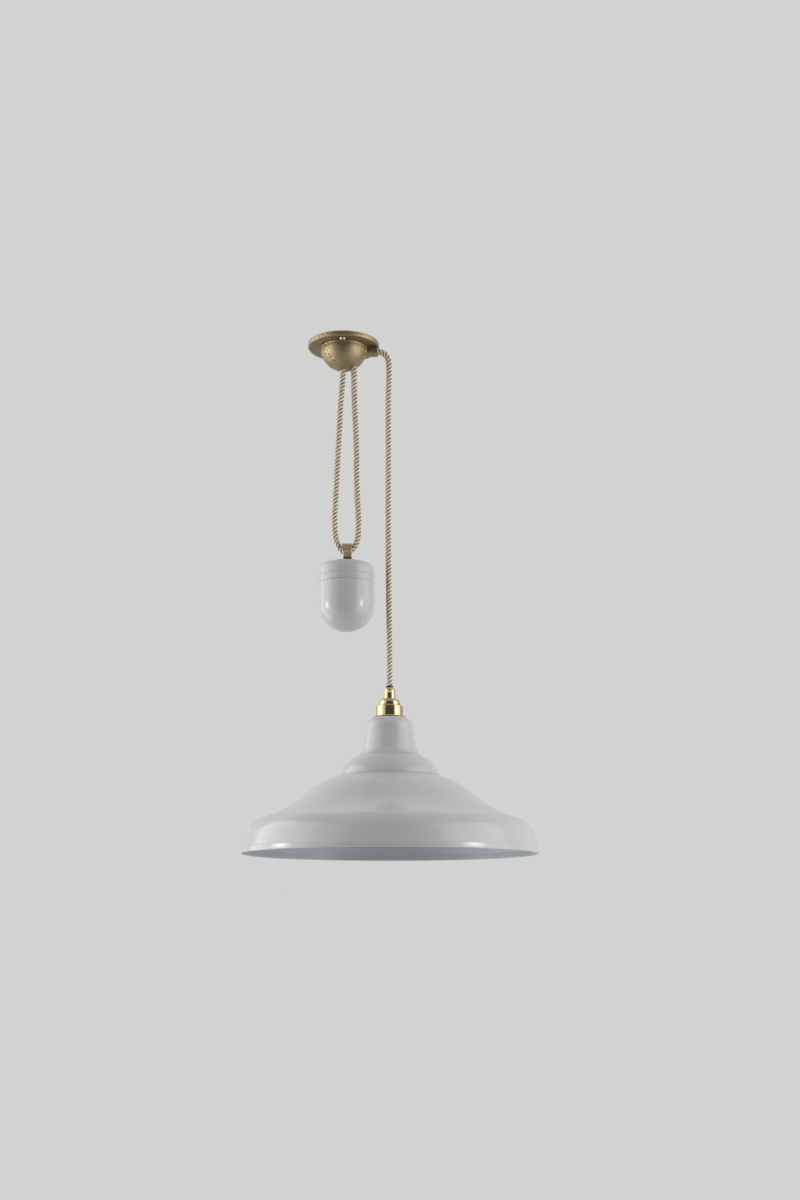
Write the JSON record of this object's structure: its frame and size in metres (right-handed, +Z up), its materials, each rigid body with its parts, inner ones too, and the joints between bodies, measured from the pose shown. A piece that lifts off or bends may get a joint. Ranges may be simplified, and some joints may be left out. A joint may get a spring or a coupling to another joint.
{
  "type": "rise and fall pendant",
  "caption": "Ceiling pendant whose wide painted shade is raised and lowered on a fabric flex looped through a hanging counterweight and a brass pulley cup.",
  "frame": {"origin": "centre of the ceiling plate's upper face, on the ceiling", "axes": "+Z up, out of the ceiling face; +X from the counterweight towards the lamp; +Y completes a right-handed set, and the plate's screws lie on it"},
  "size_m": [0.3601, 0.3602, 0.6175],
  "materials": {
    "cast_brass": "satin",
    "aged_brass": "satin",
    "polished_brass": "polished",
    "plain_brass": "satin",
    "steel": "satin",
    "black_plastic": "satin",
    "grommet_rubber": "matte",
    "block_plastic": "satin",
    "insert_plastic": "satin",
    "weight_paint": "satin",
    "ballast_iron": "matte",
    "shade_paint": "satin",
    "flex_braid": "matte",
    "core_brown": "satin",
    "core_blue": "satin",
    "core_green_yellow": "satin"
  },
  "bodies": {
    "ceiling": {"mounting_strap": "steel", "ceiling_plate": "cast_brass", "pulley_cup": "cast_brass", "cable_grommet": "grommet_rubber", "spout_bush": "black_plastic", "guide_bracket": "plain_brass", "guide_axle": "plain_brass", "anchor_leg": "plain_brass", "anchor_saddle": "plain_brass", "anchor_foot_screw": "steel", "terminal_block": "block_plastic", "terminal_block_screw": "steel", "flex_loop": "flex_braid", "flex_lamp_fall": "flex_braid", "plate_screw_front": "aged_brass", "plate_screw_back": "aged_brass", "cup_screw_1": "steel", "cup_screw_2": "steel", "bracket_screw_1": "steel", "bracket_screw_2": "steel", "anchor_screw_1": "steel", "anchor_screw_2": "steel", "terminal_barrel_1": "plain_brass", "terminal_screw_1": "steel", "flex_core_1": "core_brown", "terminal_barrel_2": "plain_brass", "terminal_screw_2": "steel", "flex_core_2": "core_blue", "terminal_barrel_3": "plain_brass", "terminal_screw_3": "steel", "flex_core_3": "core_green_yellow"},
    "weight": {"weight_lid": "weight_paint", "weight_shell": "weight_paint", "weight_ballast": "ballast_iron", "stirrup": "aged_brass", "stirrup_cross_pin": "steel", "roller_pin": "steel"},
    "lamp": {"shade": "shade_paint", "shade_ring": "polished_brass", "lampholder_skirt": "polished_brass", "lampholder_cap": "polished_brass", "cord_grip_nozzle": "polished_brass", "grip_bush": "black_plastic", "grub_screw": "polished_brass", "lampholder_barrel": "polished_brass", "lampholder_insert": "insert_plastic", "earth_terminal": "plain_brass", "lamp_core_1": "core_brown", "lamp_core_2": "core_blue", "lamp_core_3": "core_green_yellow", "contact_terminal_1": "plain_brass", "contact_screw_1": "steel", "plunger_spring_1": "steel", "contact_terminal_2": "plain_brass", "contact_screw_2": "steel", "plunger_spring_2": "steel"},
    "guide_pulley": {"guide_pulley": "plain_brass"},
    "stirrup_roller": {"stirrup_roller": "plain_brass"},
    "plunger_1": {"plunger_1": "plain_brass"},
    "plunger_2": {"plunger_2": "plain_brass"}
  },
  "joints": [
    {"name": "lamp_slide", "type": "slide", "parent": "ceiling", "child": "lamp", "axis": [0, 0, 1], "range_m": [-0.25, 0.07], "deforming": ["flex_lamp_fall"]},
    {"name": "weight_slide", "type": "slide", "parent": "ceiling", "child": "weight", "axis": [0, 0, 1], "range_m": [-0.036, 0.126], "deforming": ["flex_loop"]},
    {"name": "guide_pulley_spin", "type": "hinge", "parent": "ceiling", "child": "guide_pulley", "pos_m": [0.0184, 0, -0.015], "axis": [0, 1, 0], "range_deg": [-670, 2390]},
    {"name": "stirrup_roller_spin", "type": "hinge", "parent": "weight", "child": "stirrup_roller", "pos_m": [0.0035, 0, -0.2472], "axis": [0, 1, 0], "range_deg": [-1270, 357]},
    {"name": "plunger_1_press", "type": "slide", "parent": "lamp", "child": "plunger_1", "axis": [0, 0, 1], "range_m": [0, 0.003], "stiffness_N_per_m": 1500, "springref_m": -0.002, "deforming": ["plunger_spring_1"]},
    {"name": "plunger_2_press", "type": "slide", "parent": "lamp", "child": "plunger_2", "axis": [0, 0, 1], "range_m": [0, 0.003], "stiffness_N_per_m": 1500, "springref_m": -0.002, "deforming": ["plunger_spring_2"]}
  ],
  "couplings": [
    {"joint": "weight_slide", "follows": "lamp_slide", "ratio": -0.5},
    {"joint": "guide_pulley_spin", "follows": "lamp_slide", "rad_per_m": -166.67},
    {"joint": "stirrup_roller_spin", "follows": "lamp_slide", "rad_per_m": 88.496}
  ]
}
